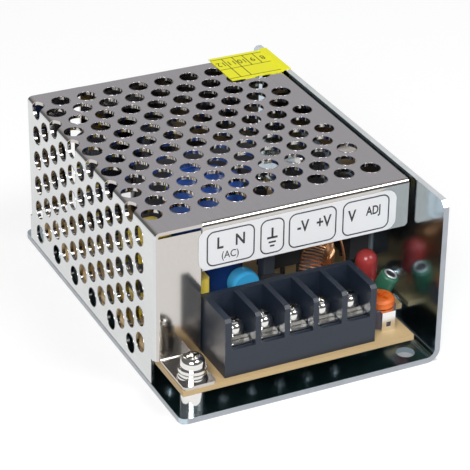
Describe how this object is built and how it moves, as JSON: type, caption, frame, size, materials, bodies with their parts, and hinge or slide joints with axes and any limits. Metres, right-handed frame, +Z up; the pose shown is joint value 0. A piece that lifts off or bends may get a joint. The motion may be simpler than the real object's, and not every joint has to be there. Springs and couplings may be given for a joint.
{
  "type": "mesh case switching power supply",
  "caption": "Small enclosed power supply: L-shaped base, folded perforated cover and an open front ledge with screw terminals and a voltage trimmer.",
  "frame": {"origin": "middle of the base's underside", "axes": "+Z up, +Y from the terminal end to the back, +X towards the plain right wall"},
  "size_m": [0.0582, 0.085, 0.0369],
  "materials": {
    "base_sheet": "zinc-plated sheet, satin to mirror bright",
    "cover_sheet": "nickel-plated sheet, satin outside and bright on the folds",
    "board": "tan phenolic board with a green solder side",
    "plated_steel": "bright nickel-plated screws and washers",
    "block_plastic": "dark slate moulded plastic",
    "contact_metal": "tin-plated brass",
    "trimmer_case": "dark moulded plastic",
    "clip_metal": "bright spring strip",
    "rotor_plastic": "orange moulded plastic",
    "red_lens": "tinted red epoxy",
    "green_sleeve": "printed shrink sleeve",
    "black_epoxy": "moulded epoxy",
    "green_dip": "dipped coating",
    "navy_dip": "dipped coating",
    "blue_dip": "dipped coating",
    "yellow_box": "moulded box",
    "white_ceramic": "ceramic body",
    "ferrite": "ferrite",
    "yellow_tape": "polyester tape",
    "blue_sleeve": "shrink sleeve",
    "bobbin_plastic": "moulded bobbin",
    "pad_sheet": "silicone insulating sheet",
    "copper_wire": "enamelled copper wire",
    "resistor_body": "lacquered body with colour bands",
    "label_film": "printed white film",
    "seal_film": "yellow paper seal"
  },
  "bodies": {
    "root": {"base_chassis": "base_sheet", "perforated_cover": "cover_sheet", "circuit_board": "board", "board_standoffs": "plated_steel", "board_screws": "plated_steel", "cover_screw": "plated_steel", "spring_washer": "plated_steel", "flat_washer": "plated_steel", "side_screws": "plated_steel", "terminal_block": "block_plastic", "terminal_contacts": "contact_metal", "trimmer_body": "trimmer_case", "trimmer_clip": "clip_metal", "indicator_led": "red_lens", "small_capacitor": "green_sleeve", "fuse": "black_epoxy", "thermistor": "green_dip", "varistor": "navy_dip", "x_capacitor": "yellow_box", "y_capacitor": "blue_dip", "standing_resistor": "white_ceramic", "mains_choke_core": "ferrite", "mains_choke_winding": "yellow_tape", "bridge_rectifier": "black_epoxy", "bulk_capacitor": "blue_sleeve", "transformer_core": "ferrite", "transformer_bobbin": "bobbin_plastic", "transformer_winding": "yellow_tape", "switching_transistor": "black_epoxy", "output_rectifier": "black_epoxy", "device_screws": "plated_steel", "insulating_pads": "pad_sheet", "controller_chip": "black_epoxy", "optocoupler": "black_epoxy", "output_choke_core": "ferrite", "output_choke_winding": "copper_wire", "output_capacitors": "green_sleeve", "chip_resistors": "resistor_body", "front_label": "label_film", "seal_sticker": "seal_film"},
    "clamp_1": {"clamp_plate_1": "plated_steel"},
    "screw_1": {"terminal_screw_1": "plated_steel"},
    "clamp_2": {"clamp_plate_2": "plated_steel"},
    "screw_2": {"terminal_screw_2": "plated_steel"},
    "clamp_3": {"clamp_plate_3": "plated_steel"},
    "screw_3": {"terminal_screw_3": "plated_steel"},
    "clamp_4": {"clamp_plate_4": "plated_steel"},
    "screw_4": {"terminal_screw_4": "plated_steel"},
    "clamp_5": {"clamp_plate_5": "plated_steel"},
    "screw_5": {"terminal_screw_5": "plated_steel"},
    "rotor": {"trimmer_rotor": "rotor_plastic"}
  },
  "joints": [
    {"name": "clamp_lift_1", "type": "slide", "parent": "root", "child": "clamp_1", "axis": [0, 0, 1], "range_m": [0, 0.002]},
    {"name": "screw_turn_1", "type": "hinge", "parent": "clamp_1", "child": "screw_1", "pos_m": [-0.01482, -0.0357, 0.0147], "axis": [0, 0, 1], "range_deg": [0, 1440]},
    {"name": "clamp_lift_2", "type": "slide", "parent": "root", "child": "clamp_2", "axis": [0, 0, 1], "range_m": [0, 0.002]},
    {"name": "screw_turn_2", "type": "hinge", "parent": "clamp_2", "child": "screw_2", "pos_m": [-0.00847, -0.0357, 0.0147], "axis": [0, 0, 1], "range_deg": [0, 1440]},
    {"name": "clamp_lift_3", "type": "slide", "parent": "root", "child": "clamp_3", "axis": [0, 0, 1], "range_m": [0, 0.002]},
    {"name": "screw_turn_3", "type": "hinge", "parent": "clamp_3", "child": "screw_3", "pos_m": [-0.00213, -0.0357, 0.0147], "axis": [0, 0, 1], "range_deg": [0, 1440]},
    {"name": "clamp_lift_4", "type": "slide", "parent": "root", "child": "clamp_4", "axis": [0, 0, 1], "range_m": [0, 0.002]},
    {"name": "screw_turn_4", "type": "hinge", "parent": "clamp_4", "child": "screw_4", "pos_m": [0.00422, -0.0357, 0.0147], "axis": [0, 0, 1], "range_deg": [0, 1440]},
    {"name": "clamp_lift_5", "type": "slide", "parent": "root", "child": "clamp_5", "axis": [0, 0, 1], "range_m": [0, 0.002]},
    {"name": "screw_turn_5", "type": "hinge", "parent": "clamp_5", "child": "screw_5", "pos_m": [0.01057, -0.0357, 0.0147], "axis": [0, 0, 1], "range_deg": [0, 1440]},
    {"name": "trimmer_turn", "type": "hinge", "parent": "root", "child": "rotor", "pos_m": [0.01915, -0.0342, 0.0125], "axis": [0, 0, 1], "range_deg": [-125, 125]}
  ],
  "couplings": [
    {"joint": "screw_turn_1", "follows": "clamp_lift_1", "rad_per_m": 12566},
    {"joint": "screw_turn_2", "follows": "clamp_lift_2", "rad_per_m": 12566},
    {"joint": "screw_turn_3", "follows": "clamp_lift_3", "rad_per_m": 12566},
    {"joint": "screw_turn_4", "follows": "clamp_lift_4", "rad_per_m": 12566},
    {"joint": "screw_turn_5", "follows": "clamp_lift_5", "rad_per_m": 12566}
  ]
}
